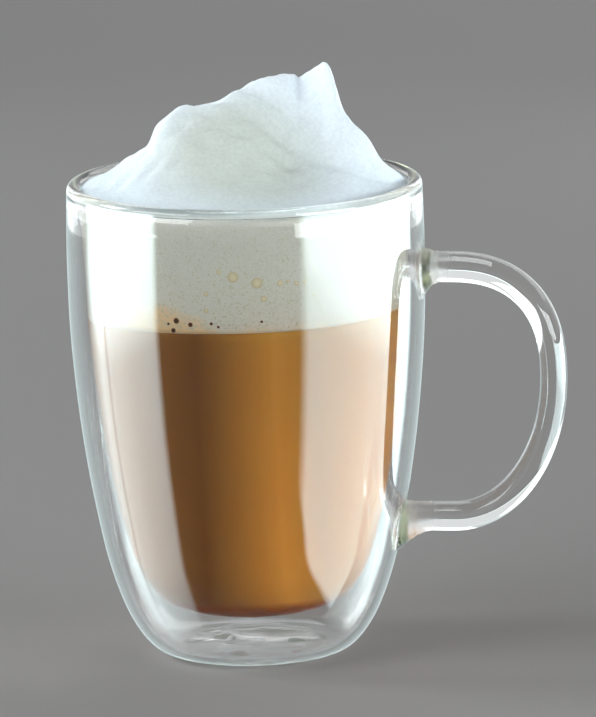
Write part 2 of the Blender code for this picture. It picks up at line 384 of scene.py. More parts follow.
# %% Outlines of the mug
LIP_TOP, LIP_RADIUS, LIP_BEAD = 0.1215, 0.0432, 0.0018  # the last is half the thickness of the lip
OUTER_WALL, INNER_WALL = 0.0019, 0.0016
HOLLOW_TOP, TIP_LENGTH = 0.1190, 0.0130  # where the hollow ends, and the length over which it narrows
FLOOR_WAVES, FLOOR_WAVE_SIZE = 0.00016, 0.0105  # the unevenness of the blown floor inside
FOOT_DISH = 0.00025  # how far the foot's middle is dished in
SEAL_RADIUS, SEAL_WIDTH, SEAL_SHARE = 0.0037, 0.0003, 0.4  # the groove's depth is a share of the dish
WALL_OUTLINE = (
    (0.0190, 0.0000), (0.0236, 0.0010), (0.0267, 0.0032), (0.0300, 0.0075), (0.0332, 0.0140), (0.0365, 0.0240),
    (0.0391, 0.0360), (0.0415, 0.0500), (0.0435, 0.0660), (0.0449, 0.0840), (0.0453, 0.1020), (0.0451, 0.1172),
)
CUP_OUTLINE = (
    (0.0000, 0.0106), (0.0080, 0.0108), (0.0160, 0.0119), (0.0222, 0.0141), (0.0265, 0.0181), (0.0297, 0.0240),
    (0.0327, 0.0340), (0.0356, 0.0480), (0.0382, 0.0640), (0.0402, 0.0840), (0.0410, 0.1020), (0.0424, 0.1172),
)
wall_line = smooth_line(WALL_OUTLINE, count=120)
cup_line = smooth_line(CUP_OUTLINE, count=100)
_, mug_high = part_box("glass_mug")
wall_line[:, 0] *= min(1.0, mug_high.y / wall_line[:, 0].max())
cup_inside = inset(cup_line, INNER_WALL)
print(f"outline: {2 * wall_line[:, 0].max() / MM:.1f} mm wide, the cup's floor {cup_inside[0, 1] / MM:.1f} mm up")


# %% Body and hollow
GLASS_SEGMENTS = 160
FOOT_RINGS, LIP_RINGS, FLOOR_RINGS, TIP_RINGS = 44, 22, 16, 25
FOOT_POLE, FLOOR_POLE = 0.0004, 0.0005  # the radius of the smallest ring, round the middle


def arc(centre, radius, start, end, count):
    """Points on a circle in the outline's plane, between two angles in degrees."""
    turn = np.radians(np.linspace(start, end, count))
    return np.stack([centre[0] + radius * np.cos(turn), centre[1] + radius * np.sin(turn)], axis=1)


def foot_line():
    """The dished foot from near the axis out to the wall: a parabola of the radius, with a shallow round groove
    where the vent was sealed."""
    radius = np.linspace(FOOT_POLE, wall_line[0, 0], FOOT_RINGS, endpoint=False)
    dish = FOOT_DISH * (1.0 - (radius / wall_line[0, 0]) ** 2)
    groove = SEAL_SHARE * FOOT_DISH * np.exp(-(((radius - SEAL_RADIUS) / SEAL_WIDTH) ** 2))
    return np.stack([radius, dish + groove], axis=1)


def body_skin():
    """The outer face from the foot's middle, up the wall, over the lip and down to the middle of the cup."""
    lip = arc((LIP_RADIUS, LIP_TOP - LIP_BEAD), LIP_BEAD, 0.0, 180.0, LIP_RINGS)
    outline = np.vstack([foot_line(), wall_line[:-1], lip, cup_inside[-2:0:-1]])
    return skin(
        turn_rings(outline, GLASS_SEGMENTS), (0.0, 0.0, FOOT_DISH), (0.0, 0.0, cup_inside[0, 1]),
    )


def hollow_skin():
    """The sealed hollow: its floor, the wall's inner face, a long oval tip under the lip, and the cup's outer face.
    The floor has slow waves that end at its rim. The faces are turned round: they bound the glass from inside."""
    outside = inset(wall_line, OUTER_WALL)
    floor = outside[0, 1]
    below = HOLLOW_TOP - TIP_LENGTH
    outside, inside = outside[outside[:, 1] < below], cup_line[cup_line[:, 1] < below]
    near, far = inside[-1, 0], outside[-1, 0]
    tip = arc(((near + far) / 2, 0.0), (far - near) / 2, 0.0, 180.0, TIP_RINGS)
    tip[:, 1] = below + tip[:, 1] * TIP_LENGTH * 2 / (far - near)
    radius = np.linspace(FLOOR_POLE, outside[0, 0], FLOOR_RINGS, endpoint=False)
    flat = np.stack([radius, np.full(FLOOR_RINGS, floor)], axis=1)
    outline = np.vstack([flat, outside, tip, inside[:0:-1]])
    rings = turn_rings(outline, GLASS_SEGMENTS)
    low = rings[:FLOOR_RINGS]
    spread = np.hypot(low[:, :, 0], low[:, :, 1]) / outside[0, 0]
    low[:, :, 2] += FLOOR_WAVES * lumps(low[:, :, :2], FLOOR_WAVE_SIZE, seed=12) * (1.0 - spread**4)
    points, faces = skin(rings, (0.0, 0.0, float(rings[0, :, 2].mean())), (0.0, 0.0, cup_line[0, 1]))
    return points, faces[:, ::-1]


body_points, body_faces = body_skin()
print(f"mug body: {len(body_faces)} triangles")

# %% [markdown]
# ## The handle
# The handle is one rod of glass bent to a loop: two quarter arcs, the upper one squarer than the lower, with a
# short level run from each to the wall. An oval ring is carried along that line, always square to it. Near the
# wall the oval swells, which is how molten glass spreads where it is pressed on.

# %% Handle
LOOP_CENTRE = (0.0520, 0.0715)
LOOP_REACH = 0.0258
UPPER_RISE, UPPER_POWER = 0.0277, 2.4
LOWER_DROP, LOWER_POWER = 0.0366, 2.0
ROD_UPPER, ROD_GRIP, ROD_LOWER = 0.0039, 0.0034, 0.0037
ROD_HALF_WIDTH = 0.0046
ROD_SIDES, RUN_RINGS, ARC_RINGS = 56, 44, 56
# Each is (how much more at the wall, how far it reaches)
UPPER_JOINT = {"outside": (0.0015, 0.0050), "inside": (0.0056, 0.0046), "across": (0.0020, 0.0050)}
LOWER_JOINT = {"outside": (0.0066, 0.0085), "inside": (0.0006, 0.0030), "across": (0.0020, 0.0060)}
JOINT_RIPPLE, RIPPLE_PITCH = 0.00012, 0.0017


def swell(joint, side, distance):
    """Extra half size at a distance from the wall: full at the wall, falling with the square of what is left, with
    the small ripples that the glassmaker's tool leaves."""
    more, reach = joint[side]
    share = np.clip(1.0 - distance / reach, 0.0, 1.0)
    return more * share**2 + JOINT_RIPPLE * np.sin(math.tau * distance / RIPPLE_PITCH) * np.sqrt(share)


def oval_rings(middle, outward, half, outside=0.0, inside=0.0, across=0.0):
    """A ring round each point of the middle line: cosine times the half size along the outward direction, and sine
    times the half width across the loop. The two halves of the ring may have different sizes."""
    angle = np.linspace(0.0, math.tau, ROD_SIDES, endpoint=False)
    half, outside, inside, across = (
        np.reshape(size + 0 * middle[:, 0], (-1, 1)) for size in (half, outside, inside, across)
    )
    reach = np.where(np.cos(angle) > 0, half + outside, half + inside) * np.cos(angle)
    x = middle[:, :1] + outward[:, :1] * reach
    y = (ROD_HALF_WIDTH + across) * np.sin(angle)
    z = middle[:, 1:] + outward[:, 1:] * reach
    return np.stack([x, y, z], axis=2)


def run_rings(height, upwards, half, joint):
    """The level run from inside the wall to the arc. Its first ring lies on the wall's own curve, and the rings
    ease from that curve to a flat one, by the share of the way."""
    share = np.linspace(0.0, 1.0, RUN_RINGS)
    wall_x = radius_at(wall_line, height)
    distance = share * (LOOP_CENTRE[0] - wall_x)
    middle = np.stack([np.full(RUN_RINGS, LOOP_CENTRE[0]), np.full(RUN_RINGS, height)], axis=1)
    outward = np.stack([np.zeros(RUN_RINGS), np.full(RUN_RINGS, upwards)], axis=1)
    swellings = (swell(joint, side, distance) for side in ("outside", "inside", "across"))
    rings = oval_rings(middle, outward, half, *swellings)
    on_wall = np.sqrt((radius_at(wall_line, rings[:, :, 2]) - OUTER_WALL / 2) ** 2 - rings[:, :, 1] ** 2)
    rings[:, :, 0] = (1.0 - share[:, None]) * on_wall + share[:, None] * LOOP_CENTRE[0]
    return rings


def arc_rings(turn, rise, power, at_run):
    """A quarter of a superellipse, from angle 0 at the grip to a quarter turn at the run: reach times the cosine
    and rise times the sine, each raised to 2 over the power. The ring stands along the curve's gradient."""
    c, s = np.maximum(np.cos(turn), 0.0), np.maximum(np.sin(turn), 0.0)
    x, z = c ** (2 / power), s ** (2 / power)
    outward = np.stack([x ** (power - 1) / LOOP_REACH, z ** (power - 1) / rise], axis=1)
    outward /= np.linalg.norm(outward, axis=1, keepdims=True)
    middle = np.stack([LOOP_CENTRE[0] + LOOP_REACH * x, LOOP_CENTRE[1] + rise * z], axis=1)
    return oval_rings(middle, outward, ROD_GRIP + (at_run - ROD_GRIP) * s**2)


def handle_skin():
    upper_z, lower_z = LOOP_CENTRE[1] + UPPER_RISE, LOOP_CENTRE[1] - LOWER_DROP
    turn = np.linspace(0.0, math.pi / 2, ARC_RINGS)
    rings = np.concatenate([
        run_rings(upper_z, 1.0, ROD_UPPER, UPPER_JOINT)[:-1],
        arc_rings(turn[::-1], UPPER_RISE, UPPER_POWER, ROD_UPPER),
        arc_rings(turn[1:], -LOWER_DROP, LOWER_POWER, ROD_LOWER),
        run_rings(lower_z, -1.0, ROD_LOWER, LOWER_JOINT)[-2::-1],
    ])
    tips = [
        (radius_at(wall_line, z) - OUTER_WALL / 2, 0.0, z)
        for z in (rings[0, :, 2].mean(), rings[-1, :, 2].mean())
    ]
    return skin(rings, *tips)


rod_points, rod_faces = handle_skin()
print(f"handle: reaches {rod_points[:, 0].max() / MM:.1f} mm from the axis")

# %% [markdown]
# ## One piece of glass
# Where two glass surfaces overlap, a ray would bend at faces that aren't there on the real mug. The union keeps
# only the outside of the body and the rod together. Shading stays smooth, except where two faces meet at a clear
# angle, as round the joints.


# %% Union of body and rod
SHARP_FROM = math.radians(28.0)


def united(first, second):
    """The Boolean union of two meshes, as a new mesh."""
    base, other = new_object("union_base", first), new_object("union_other", second)
    union = base.modifiers.new("union", "BOOLEAN")
    union.operation, union.solver, union.object = "UNION", "EXACT", other
    result = bpy.data.meshes.new_from_object(base.evaluated_get(bpy.context.evaluated_depsgraph_get()))
    for obj in (base, other):
        bpy.data.objects.remove(obj)
    return result


def glass_mesh():
    """The union of body and rod, with the hollow's own skin added to it."""
    solid = united(
        make_mesh("mug_body", body_points, body_faces),
        make_mesh("handle_rod", rod_points, rod_faces),
    )
    hollow = make_mesh("mug_hollow", *hollow_skin())
    joined = bmesh.new()
    joined.from_mesh(solid)
    joined.from_mesh(hollow)
    mesh = bpy.data.meshes.new("mug_glass")
    joined.to_mesh(mesh)
    joined.free()
    mesh.shade_smooth()
    mesh.set_sharp_from_angle(angle=SHARP_FROM)
    return mesh


# %% [markdown]
# The glass is clear and very smooth, with the index of borosilicate glass. Only the long way through the thick lip
# and the joints shows its faint olive tint, so the tint is an absorption inside and not a surface colour.
# Where the rod was pressed on, fine wrinkles make the surface a little rough.

# %% Glass
GLASS_TINT, TINT_DENSITY = (0.80, 0.86, 0.60, 1.0), 5.0
JOINT_ROUGHNESS, JOINT_REACH = 0.5, (0.0040, 0.0100)  # the distances where it starts to fall and where it ends
JOINTS = (
    (0.0462, 0.0, LOOP_CENTRE[1] + UPPER_RISE), (0.0412, 0.0, LOOP_CENTRE[1] - LOWER_DROP - 0.001),
)


def glass_material():
    made, tree, shader = new_material(
        "glass_of_mug", Base_Color=(1.0, 1.0, 1.0, 1.0), IOR=1.47, Transmission_Weight=1.0,
    )
    near = [
        fade_node(tree, distance_to(tree, joint), JOINT_REACH, (JOINT_ROUGHNESS, 0.0)) for joint in JOINTS
    ]
    tree.links.new(math_node(tree, "MAXIMUM", *near), shader.inputs["Roughness"])
    tint = add_node(tree, "ShaderNodeVolumeAbsorption", Color=GLASS_TINT, Density=TINT_DENSITY)
    tree.links.new(tint.outputs["Volume"], tree.nodes["Material Output"].inputs["Volume"])
    return made


add_piece("mug_glass", glass_mesh(), glass_material(), "clear_glass", "glass_mug", "base_seal")

# %% [markdown]
# ## The milky coffee
# The drink fills the cup's round bottom up to a slightly tilted line. It wets the glass, so its surface reaches a
# little way into the wall, and no air shows between them. Milk makes it opaque. Its colour carries painted shade:
# darker at both sides, darkest in a band left of the middle, and darker towards the top. Coffee has settled in the
# lowest few millimetres, which are darker and redder.

# %% Line between coffee and foam
WALL_BITE = 0.00006  # how far the drink reaches into the glass
EDGE_BITE = 0.00016  # the same at the lip, whose bead curves away
LINE_HEIGHT, LINE_TILT, LINE_WAVE = 0.0893, 0.027, 0.0003
FOAM_EDGE_RADIUS = 0.0410
COFFEE_SEGMENTS, LEVEL_RINGS = 160, 20
UNDER_LINE = 0.002  # where the drink's side ends and its level begins
POLE_SHARE = 0.02  # the smallest ring's share of the radius, round the middle
drink_side = inset(cup_line, INNER_WALL - WALL_BITE)


def line_height(x, y):
    """A plane tilted towards the handle, with three slow waves round the glass that grow with the radius."""
    around = np.arctan2(y, x)
    wave = LINE_WAVE * np.sin(3.0 * around + 0.6) * np.hypot(x, y) / FOAM_EDGE_RADIUS
    return LINE_HEIGHT + LINE_TILT * x + wave


def coffee_skin():
    """The cup's inside up to just under the line, then rings at the line's height in to the axis."""
    side = drink_side[drink_side[:, 1] < LINE_HEIGHT - UNDER_LINE][1:]
    edge = radius_at(drink_side, LINE_HEIGHT)
    radius = edge * np.linspace(1.0, POLE_SHARE, LEVEL_RINGS)
    level = np.stack([radius, np.full(LEVEL_RINGS, LINE_HEIGHT)], axis=1)
    rings = turn_rings(np.vstack([side, level]), COFFEE_SEGMENTS)
    top = rings[len(side):]
    top[:, :, 2] = line_height(top[:, :, 0], top[:, :, 1])
    return skin(rings, (0.0, 0.0, drink_side[0, 1]), (0.0, 0.0, LINE_HEIGHT))


# %% Coffee finish
COFFEE = (0.88, 0.44, 0.060)
COFFEE_PALE = (0.94, 0.50, 0.085)
COFFEE_SETTLED = (0.50, 0.125, 0.005)
SETTLED_HEIGHTS = (0.0155, 0.0185)
# Painted shade that the colour is multiplied by from left to right, as (share of the way, colour), and at the top
SHADE_SPAN = (-0.027, 0.030)
PAINTED_SHADE_ACROSS = (
    (0.0, (0.66, 0.58, 0.52)), (0.34, (0.352, 0.258, 0.125)), (0.68, WHITE), (0.84, (0.74, 0.76, 0.72)),
    (1.0, (0.90, 0.88, 0.74)),
)
# Painted shade: the drink darker towards its top, from this height up
COFFEE_TOP_SHADE, TOP_FROM = (0.68, 0.66, 0.64), 0.018
STREAK_SCALE, STREAK_SQUASH = 420.0, (1.0, 1.0, 0.06)
BLOTCH_SCALE, BLOTCH_SHARE = 260.0, 0.3


def coffee_material():
    made, tree, shader = new_material(
        "coffee_with_milk", Roughness=0.4, Specular_IOR_Level=0.0, Subsurface_Weight=0.15, Subsurface_Scale=0.003,
        Subsurface_Radius=(1.0, 0.5, 0.25),
    )
    streaks = noise(tree, object_place(tree, STREAK_SQUASH), STREAK_SCALE, detail=2.0)
    body = mix(tree, streaks, COFFEE, COFFEE_PALE)
    # Painted shade: darker at both sides, darkest in a band left of the middle, and darker towards the top
    across = ramp(tree, share_along(tree, "X", *SHADE_SPAN), *PAINTED_SHADE_ACROSS)
    upwards = ramp(tree, share_along(tree, "Z", TOP_FROM, LINE_HEIGHT), (0.0, WHITE), (1.0, COFFEE_TOP_SHADE))
    body = times(tree, times(tree, body, across), upwards)
    blotches = product(tree, noise(tree, object_place(tree), BLOTCH_SCALE), BLOTCH_SHARE)
    settled = total(tree, share_along(tree, "Z", *SETTLED_HEIGHTS), blotches)
    whole = mix(tree, ramp(tree, settled, (0.25, BLACK), (1.0, WHITE)), COFFEE_SETTLED, body)
    tree.links.new(whole, shader.inputs["Base Color"])
    return made


add_piece(
    "latte_coffee", make_mesh("latte_coffee", *coffee_skin()), coffee_material(), "milky_coffee", "milky_coffee",
)

# %% [markdown]
# ## The milk foam
# The foam is one thick plug under a heap. The heap is a height over the round opening: a crest line gives the
# height along its length, and to both sides the height falls to nothing at the lip. On the right of the front it
# falls as a hollow scoop, where a spoon pulled the foam up into its peak, and elsewhere as a rounded dome.

# %% The heap's form
FOAM_EDGE = 0.1206
HEAP_TURN = math.radians(8.0)
CREST = (
    (-0.0410, 0.0000, 0.0000), (-0.0367, -0.0005, 0.0025), (-0.0300, -0.0010, 0.0062), (-0.0243, -0.0015, 0.0104),
    (-0.0218, -0.0015, 0.0158), (-0.0185, -0.0010, 0.0187), (-0.0140, 0.0000, 0.0203), (-0.0080, 0.0015, 0.0206),
    (-0.0010, 0.0040, 0.0234), (0.0022, 0.0050, 0.0250), (0.0055, 0.0060, 0.0258), (0.0100, 0.0070, 0.0273),
    (0.0132, 0.0075, 0.0271), (0.0148, 0.0075, 0.0262), (0.0190, 0.0065, 0.0291), (0.0210, 0.0050, 0.0299),
    (0.0230, 0.0020, 0.0274), (0.0253, -0.0020, 0.0198), (0.0278, -0.0050, 0.0157), (0.0318, -0.0070, 0.0114),
    (0.0352, -0.0070, 0.0060), (0.0410, 0.0000, 0.0000),
)
SCOOP_AT, SCOOP_WIDTH = 0.0120, 0.0140
SIDE_FALL, SCOOP_FALL = 1.5, 1.9
CREST_ROUNDING, CREST_FADE = 0.08, 0.45
DOME_HEIGHT, DOME_POWER = 0.0210, 1.7
crest_line = smooth_line(CREST, count=1200)


def heap_places(x, y):
    """Places along the crest's direction and in depth behind the axis."""
    along = x * math.cos(HEAP_TURN) + y * math.sin(HEAP_TURN)
    depth = y * math.cos(HEAP_TURN) - x * math.sin(HEAP_TURN)
    return along, depth


def heap_form(x, y):
    """The heap's height over the foam's edge, and how much of the scoop is felt there. With away as the share of
    the way from the crest to the lip, a rounded side is one less away squared, raised to a power, and the scoop is
    one less away, raised to a higher power."""
    along, depth = heap_places(x, y)
    crest_depth = np.interp(along, crest_line[:, 0], crest_line[:, 1])
    crest_height = np.interp(along, crest_line[:, 0], crest_line[:, 2])
    dome_height = DOME_HEIGHT * np.maximum(1.0 - (along / FOAM_EDGE_RADIUS) ** 2, 0.0) ** DOME_POWER
    half_chord = np.sqrt(np.maximum(FOAM_EDGE_RADIUS**2 - along**2, 1e-10))
    behind = depth > crest_depth
    room = np.where(behind, half_chord - crest_depth, half_chord + crest_depth)
    away = np.clip(np.abs(depth - crest_depth) / np.maximum(room, 1e-6), 0.0, 1.0)
    fade = np.clip(away / CREST_FADE, 0.0, 1.0)
    fade = fade * fade * (3.0 - 2.0 * fade)
    height = crest_height + (dome_height - crest_height) * fade
    rounded = np.hypot(away, CREST_ROUNDING) - CREST_ROUNDING
    rounded = rounded / (math.hypot(1.0, CREST_ROUNDING) - CREST_ROUNDING)
    scoop = np.where(behind, 0.0, np.exp(-(((along - SCOOP_AT) / SCOOP_WIDTH) ** 2)))
    side_fall = (1.0 - away**2) ** SIDE_FALL
    scoop_fall = (1.0 - rounded) ** SCOOP_FALL
    return height * (side_fall + (scoop_fall - side_fall) * scoop), scoop * (1.0 - away)


# %% [markdown]
# Foam is never even, so lumps of three sizes are added to the form, the largest mostly high on the heap. The
# scooped face has fine upright folds as well, because the foam was drawn out there.


# %% Relief of the foam
# Each is (depth everywhere, more of it high up, size, seed)
FOAM_LUMPS = ((0.00010, 0.00030, 0.0075, 1), (0.00003, 0.00002, 0.0030, 2), (0.000018, 0.0, 0.0012, 3))
LUMP_SQUASH = 0.5  # lumps are longer up the heap than across it
FOLD_DEPTH, FOLD_SIZE, FOLD_SQUASH, FOLD_GAIN = 0.00003, 0.0024, 0.12, 1.6
HIGH_FROM = 0.012


def foam_relief(x, y, height, scoop):
    """Lumps of three sizes, strongest high on the heap, and folds that run down the scoop."""
    points = np.stack([x, y, LUMP_SQUASH * height], axis=-1)
    along, _ = heap_places(x, y)
    high = np.clip(height / HIGH_FROM, 0.0, 1.0)
    folds = lumps(np.stack([along, FOLD_SQUASH * height], axis=-1), FOLD_SIZE, seed=5)
    relief = sum((depth + more * high) * lumps(points, size, seed) for depth, more, size, seed in FOAM_LUMPS)
    return relief + FOLD_DEPTH * np.clip(FOLD_GAIN * scoop, 0.0, 1.0) * high * folds


# %% The foam's surface
FOAM_SEGMENTS = 320
BOTTOM_RINGS, SIDE_RINGS, TOP_RINGS = 10, 70, 170
TOP_REACH, TOP_CROWDING = 0.995, 1.08  # how near the middle the last ring is, and a power that crowds the rings
EDGE_HEIGHT, EDGE_EASE = 0.1198, 0.0006
EDGE_WAVES, EDGE_WAVE_SIZE = 0.00025, 0.016
SIDE_MARGINS = (0.0012, 0.0008)  # what the side leaves to the underside and to the top
CLEARANCE = 0.00005  # from the top of the solids


def foam_skin():
    """Rings from the middle of the underside out to the glass, up the glass, and in over the heap. Near the glass
    the top eases down to the wetted edge, as an exponential of the distance to it."""
    floor_edge = radius_at(drink_side, LINE_HEIGHT)
    radius = floor_edge * np.linspace(POLE_SHARE, 1.0, BOTTOM_RINGS)
    floor = np.stack([radius, np.full(BOTTOM_RINGS, LINE_HEIGHT)], axis=1)
    heights = np.linspace(LINE_HEIGHT + SIDE_MARGINS[0], EDGE_HEIGHT - SIDE_MARGINS[1], SIDE_RINGS)
    edge_radius = LIP_RADIUS - LIP_BEAD + EDGE_BITE
    lip_inside = np.vstack([drink_side, [(edge_radius, EDGE_HEIGHT)]])
    side = np.stack([radius_at(lip_inside, heights), heights], axis=1)
    shares = 1.0 - np.linspace(0.0, TOP_REACH, TOP_RINGS) ** TOP_CROWDING
    top = np.stack([edge_radius * shares, np.full(TOP_RINGS, EDGE_HEIGHT)], axis=1)
    rings = turn_rings(np.vstack([floor, side, top]), FOAM_SEGMENTS)
    bottom = rings[:len(floor)]
    bottom[:, :, 2] = line_height(bottom[:, :, 0], bottom[:, :, 1])
    lifted = rings[-len(top):]
    x, y = lifted[:, :, 0], lifted[:, :, 1]
    form, scoop = heap_form(x, y)
    edge = EDGE_HEIGHT + EDGE_WAVES * lumps(np.stack([x, y], axis=-1), EDGE_WAVE_SIZE, seed=9)
    ease = 1.0 - np.exp((np.hypot(x, y) - edge_radius) / EDGE_EASE)
    above = FOAM_EDGE + form + foam_relief(x, y, form, scoop)
    lifted[:, :, 2] = edge + (above - edge) * ease
    room = cad_high.z - CLEARANCE - FOAM_EDGE
    over = lifted[:, :, 2] - FOAM_EDGE
    lifted[:, :, 2] = FOAM_EDGE + over * min(1.0, room / over.max())
    return skin(rings, (0.0, 0.0, LINE_HEIGHT), (0.0, 0.0, float(lifted[-1, :, 2].mean())))


# %% [markdown]
# Seen from above the foam is nearly white, with a fine grain, and light goes a little way into it, which softens
# its shadows. Painted shade makes the scooped face greyer, and the top a little darker low down near the glass.
# Against the glass the foam is wet and greyer still, and coffee has soaked into its lowest part in blotches. Fine
# bubbles show there as a mottle of cells.

# %% Foam finish
FOAM_WHITE = (0.80, 0.875, 0.935)
# Painted shade: the scooped face greyer, fading out with the distance from a place on it
FOAM_SCOOP_SHADE, SCOOP_SHADE_PLACE, SCOOP_SHADE_REACH = (0.59, 0.63, 0.585), (0.002, -0.018, 0.131), (0.011, 0.032)
# Painted shade: the top darker low down near the glass
FOAM_LOW_SHADE, LOW_SHADE_HEIGHT = (0.84, 0.86, 0.86), 0.009  # how much greyer it is near the glass, and how far up
FOAM_GRAIN, GRAIN_SCALE, PORE_SCALE = (0.90, 0.91, 0.91), 1000.0, 1600.0
FOAM_WET, FOAM_WET_DARK = (0.755, 0.75, 0.70), (0.62, 0.62, 0.53)
CELL_SCALE, CLOUD_SCALE = 1900.0, 180.0
EDGE_BLEND = (-0.0016, 0.0002)  # from the edge's height, where the wet foam changes to the white
FOAM_STAIN, STAIN_HEIGHT, STAIN_SCALE, STAIN_SHARE = (0.86, 0.66, 0.40), 0.008, 240.0, 1.3
# Where the coffee has risen further
STAIN_PLACE, STAIN_REACH, STAIN_SHIFT = (-0.017, -0.036, 0.0905), (0.001, 0.019), -0.75


def foam_material():
    made, tree, shader = new_material(
        "foamed_milk", Roughness=0.8, Specular_IOR_Level=0.05, Subsurface_Weight=0.3, Subsurface_Scale=0.0010,
        Subsurface_Radius=(1.0, 0.95, 0.9),
    )
    place = object_place(tree)
    cells = add_node(tree, "ShaderNodeTexVoronoi", feature="F1", Scale=CELL_SCALE)
    tree.links.new(place, cells.inputs["Vector"])
    mottle = ramp(tree, cells.outputs["Distance"], (0.15, FOAM_WET_DARK), (0.62, FOAM_WET))
    cloudy = mix(tree, noise(tree, place, CLOUD_SCALE), mottle, FOAM_WET)
    blotches = noise(tree, place, STAIN_SCALE, detail=6.0, roughness=0.62)
    blotches = product(tree, blotches, STAIN_SHARE)
    low = total(tree, share_along(tree, "Z", LINE_HEIGHT, LINE_HEIGHT + STAIN_HEIGHT), blotches)
    near = fade_node(
        tree, distance_to(tree, STAIN_PLACE), STAIN_REACH, (STAIN_SHIFT, 0.0), interpolation_type="SMOOTHSTEP",
    )
    low = total(tree, low, near)
    stained = mix(tree, ramp(tree, low, (0.35, WHITE), (0.98, BLACK)), cloudy, FOAM_STAIN)
    # Painted shade: the scooped face greyer
    scoop_shade = fade_node(
        tree, distance_to(tree, SCOOP_SHADE_PLACE), SCOOP_SHADE_REACH, (0.0, 1.0), interpolation_type="SMOOTHSTEP",
    )
    # Painted shade: the top darker low down near the glass
    rim = ramp(
        tree, share_along(tree, "Z", EDGE_HEIGHT, EDGE_HEIGHT + LOW_SHADE_HEIGHT), (0.0, FOAM_LOW_SHADE), (1.0, WHITE),
    )
    grain = noise(tree, place, GRAIN_SCALE, detail=4.0, roughness=0.6)
    grain = ramp(tree, grain, (0.35, FOAM_GRAIN), (0.65, WHITE))
    top = times(tree, times(tree, mix(tree, scoop_shade, FOAM_SCOOP_SHADE, FOAM_WHITE), rim), grain)
    above = share_along(tree, "Z", EDGE_HEIGHT + EDGE_BLEND[0], EDGE_HEIGHT + EDGE_BLEND[1])
    above = ramp(tree, above, (0.0, BLACK), (1.0, WHITE))
    tree.links.new(mix(tree, above, stained, top), shader.inputs["Base Color"])
    bump(tree, shader, noise(tree, place, PORE_SCALE, detail=2.0), 0.25, 0.00015)
    return made


add_piece(
    "latte_foam", make_mesh("latte_foam", *foam_skin()), foam_material(), "milk_foam", "milk_foam",
)

# %% [markdown]
# ## Bubbles at the glass
# Larger bubbles press flat against the glass. Each is a small lens with its base in the foam and its face in the
# wetted wall, and a sharp rim. All lenses of one kind are one mesh: the points of one lens are placed for every
# bubble at once by adding axes to the arrays. The fine ones are drawn at random, more and larger towards the
# coffee, and the few large ones stand where the photograph shows them.

# %% Lenses on the wall
FRONT = math.radians(-82.0)  # the side of the mug that faces the camera
SHARP_RIM = math.radians(40.0)
LENS_START, LENS_SINK = 0.25, -0.6  # the first ring's share of a quarter turn; the base's height over the bulge


def lens_shape(sides, rings):
    """One lens of radius one: rings at growing radius whose height falls as a circle's does, then a sunken base.
    Gives points as (across, up, outwards) and its triangles."""
    turn = np.linspace(LENS_START, 1.0, rings) * math.pi / 2
    outline = np.stack([np.sin(turn), np.cos(turn)], axis=1)
    return skin(turn_rings(outline, sides), (0.0, 0.0, 1.0), (0.0, 0.0, LENS_SINK))


def lenses(angles, heights, radii, bulge, sides, rings):
    """Every lens at its angle and height on the wetted wall, with its face lifted by the bulge. Gives the points,
    the triangles, and each point's share of the way from the lens's middle to its rim."""
    shape, faces = lens_shape(sides, rings)
    angle = angles[:, None] + radii[:, None] * shape[:, 0] / radius_at(drink_side, heights)[:, None]
    height = heights[:, None] + radii[:, None] * shape[:, 1]
    reach = radius_at(drink_side, height) + bulge[:, None] * shape[:, 2]
    points = np.stack([reach * np.cos(angle), reach * np.sin(angle), height], axis=2).reshape(-1, 3)
    starts = np.arange(len(angles)) * len(shape)
    rim = np.tile(np.hypot(shape[:, 0], shape[:, 1]), len(angles))
    return points, (starts[:, None, None] + faces).reshape(-1, 3), rim


def bubble_mesh(name, angles, heights, radii, bulge, sides, rings):
    points, faces, rim = lenses(angles, heights, radii, bulge, sides, rings)
    mesh = make_mesh(name, points, faces)
    mesh.attributes.new("rim", "FLOAT", "POINT").data.foreach_set("value", rim.astype(np.float32))
    mesh.set_sharp_from_angle(angle=SHARP_RIM)
    return mesh


def bubble_material(name, middle, edge):
    """Colour from the lens's middle to its rim, read from the attribute that the mesh carries. The change is
    painted shading of the lens.
    """
    made, tree, shader = new_material(name, Roughness=0.4, Specular_IOR_Level=0.0)
    rim = add_node(tree, "ShaderNodeAttribute", attribute_name="rim")
    tree.links.new(ramp(tree, rim.outputs["Fac"], (0.35, middle), (0.9, edge)), shader.inputs["Base Color"])
    return made


# %% Fine bubbles
FINE_COUNT, FINE_SIDES, FINE_RINGS = 8000, 6, 2
FINE_FROM, FINE_BAND = LINE_HEIGHT + 0.0014, 0.0265
FINE_SMALLEST, FINE_MORE, FINE_BULGE = 0.00012, 0.00024, 0.15
FINE_LOWNESS, FINE_RARENESS, FINE_SHRINKING = 1.2, 2.0, 0.6
# Each is (colour in the middle, colour at the rim); the change between them is painted shading of the lens
FINE_COLOURS = (0.58, 0.56, 0.42), (0.70, 0.70, 0.58)
TAN_COLOURS = (0.80, 0.74, 0.54), (0.66, 0.58, 0.38)
DARK_COLOURS = (0.05, 0.018, 0.006), (0.20, 0.07, 0.02)


def fine_bubbles():
    """Drawn at random in the band over the line. The share of the way up is a random number raised to a power, so
    that more of them are low down. Another one, raised to a higher power, makes few of them large."""
    random = np.random.default_rng(21)
    share = random.uniform(0.0, 1.0, FINE_COUNT) ** FINE_LOWNESS
    heights = FINE_FROM + share * FINE_BAND
    largest = FINE_MORE * (1.0 - FINE_SHRINKING * share)
    radii = FINE_SMALLEST + largest * random.uniform(0.0, 1.0, FINE_COUNT) ** FINE_RARENESS
    angles = random.uniform(0.0, math.tau, FINE_COUNT)
    return bubble_mesh("fine_bubbles", angles, heights, radii, FINE_BULGE * radii, FINE_SIDES, FINE_RINGS)


add_piece("fine_bubbles", fine_bubbles(), bubble_material("fine_bubble", *FINE_COLOURS), "milk_foam")

